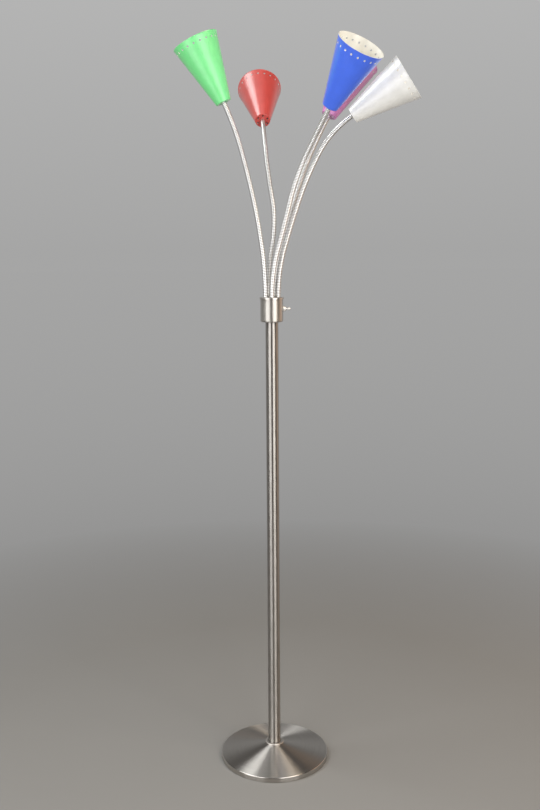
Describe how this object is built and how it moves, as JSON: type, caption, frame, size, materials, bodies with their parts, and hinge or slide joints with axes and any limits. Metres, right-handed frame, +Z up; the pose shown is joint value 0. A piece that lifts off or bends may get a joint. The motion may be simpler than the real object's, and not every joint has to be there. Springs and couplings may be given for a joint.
{
  "type": "floor lamp",
  "caption": "Floor lamp on a weighted round base: a straight pole with a switched hub that carries flexible necks, each ending in a coloured metal cone shade that points up.",
  "frame": {"origin": "middle of the base on the floor, at the underside of the felt pad", "axes": "+Z up along the pole, +X to the side with the switch knob, -Y to the front, the flex inlet at the back on +Y"},
  "size_m": [0.5904, 0.4898, 1.8404],
  "materials": {
    "nickel": "satin",
    "bright_nickel": "polished",
    "neck_nickel": "satin",
    "zinc_steel": "satin",
    "cast_iron": "matte",
    "felt": "matte",
    "black_plastic": "matte",
    "frosted_white": "satin",
    "blue_enamel": "satin",
    "white_enamel": "satin",
    "pink_enamel": "satin",
    "red_enamel": "satin",
    "green_enamel": "satin"
  },
  "bodies": {
    "stand": {"base_pad": "felt", "base_cover": "nickel", "base_weight": "cast_iron", "cord_bushing": "black_plastic", "base_washer": "zinc_steel", "base_nut": "zinc_steel", "base_stem": "zinc_steel", "pole_ring": "nickel", "pole_lower": "nickel", "pole_middle": "nickel", "pole_upper": "nickel", "pole_coupler_lower": "zinc_steel", "pole_coupler_upper": "zinc_steel", "pole_foot_plug": "zinc_steel", "pole_head_plug": "zinc_steel", "hub_cup": "nickel", "hub_nut": "zinc_steel", "hub_stem": "zinc_steel", "hub_lid": "nickel", "lid_cap_nut": "nickel", "neck_root_nipples": "zinc_steel", "neck_root_nuts": "zinc_steel", "switch_body": "black_plastic", "switch_nut": "bright_nickel"},
    "knob": {"switch_knob": "bright_nickel"},
    "blue_arm": {"gooseneck_blue": "neck_nickel"},
    "blue_head": {"shade_blue": "blue_enamel", "tip_nipple_blue": "zinc_steel", "socket_blue": "black_plastic", "bulb_blue": "frosted_white"},
    "white_arm": {"gooseneck_white": "neck_nickel"},
    "white_head": {"shade_white": "white_enamel", "tip_nipple_white": "zinc_steel", "socket_white": "black_plastic", "bulb_white": "frosted_white"},
    "pink_arm": {"gooseneck_pink": "neck_nickel"},
    "pink_head": {"shade_pink": "pink_enamel", "tip_nipple_pink": "zinc_steel", "socket_pink": "black_plastic", "bulb_pink": "frosted_white"},
    "red_arm": {"gooseneck_red": "neck_nickel"},
    "red_head": {"shade_red": "red_enamel", "tip_nipple_red": "zinc_steel", "socket_red": "black_plastic", "bulb_red": "frosted_white"},
    "green_arm": {"gooseneck_green": "neck_nickel"},
    "green_head": {"shade_green": "green_enamel", "tip_nipple_green": "zinc_steel", "socket_green": "black_plastic", "bulb_green": "frosted_white"}
  },
  "joints": [
    {"name": "switch_turn", "type": "hinge", "parent": "stand", "child": "knob", "pos_m": [0, 0, 1.17798], "axis": [1, 0, 0], "continuous": true},
    {"name": "blue_lower_bend", "type": "hinge", "parent": "stand", "child": "blue_arm", "pos_m": [0.01693, -0.00684, 1.32557], "axis": [0.2111, 0.9775, 0], "range_deg": [-5, 35], "deforming": ["gooseneck_blue"]},
    {"name": "blue_upper_bend", "type": "hinge", "parent": "blue_arm", "child": "blue_head", "pos_m": [0.08811, 0.01701, 1.55117], "axis": [0.7547, 0.6561, 0], "range_deg": [-15, 50]},
    {"name": "white_lower_bend", "type": "hinge", "parent": "stand", "child": "white_arm", "pos_m": [0.03225, 0.00992, 1.32485], "axis": [-0.0945, 0.9955, 0], "range_deg": [-5, 35], "deforming": ["gooseneck_white"]},
    {"name": "white_upper_bend", "type": "hinge", "parent": "white_arm", "child": "white_head", "pos_m": [0.11633, 0.0408, 1.54884], "axis": [0.2419, 0.9703, 0], "range_deg": [-15, 50]},
    {"name": "pink_lower_bend", "type": "hinge", "parent": "stand", "child": "pink_arm", "pos_m": [0.02562, 0.02641, 1.3251], "axis": [-0.6521, 0.7582, 0], "range_deg": [-5, 35], "deforming": ["gooseneck_pink"]},
    {"name": "pink_upper_bend", "type": "hinge", "parent": "pink_arm", "child": "pink_head", "pos_m": [0.0956, 0.09787, 1.5456], "axis": [-0.3907, 0.9205, 0], "range_deg": [-15, 50]},
    {"name": "red_lower_bend", "type": "hinge", "parent": "stand", "child": "red_arm", "pos_m": [0.00119, 0.0207, 1.32651], "axis": [-0.9906, -0.137, 0], "range_deg": [-5, 35], "deforming": ["gooseneck_red"]},
    {"name": "red_upper_bend", "type": "hinge", "parent": "red_arm", "child": "red_head", "pos_m": [-0.01157, 0.09351, 1.55467], "axis": [-0.9976, -0.0698, 0], "range_deg": [-15, 50]},
    {"name": "green_lower_bend", "type": "hinge", "parent": "stand", "child": "green_arm", "pos_m": [-0.02308, 0.00305, 1.32681], "axis": [-0.5152, -0.8571, 0], "range_deg": [-5, 35], "deforming": ["gooseneck_green"]},
    {"name": "green_upper_bend", "type": "hinge", "parent": "green_arm", "child": "green_head", "pos_m": [-0.07162, 0.04694, 1.56008], "axis": [0, -1, 0], "range_deg": [-15, 50]}
  ]
}
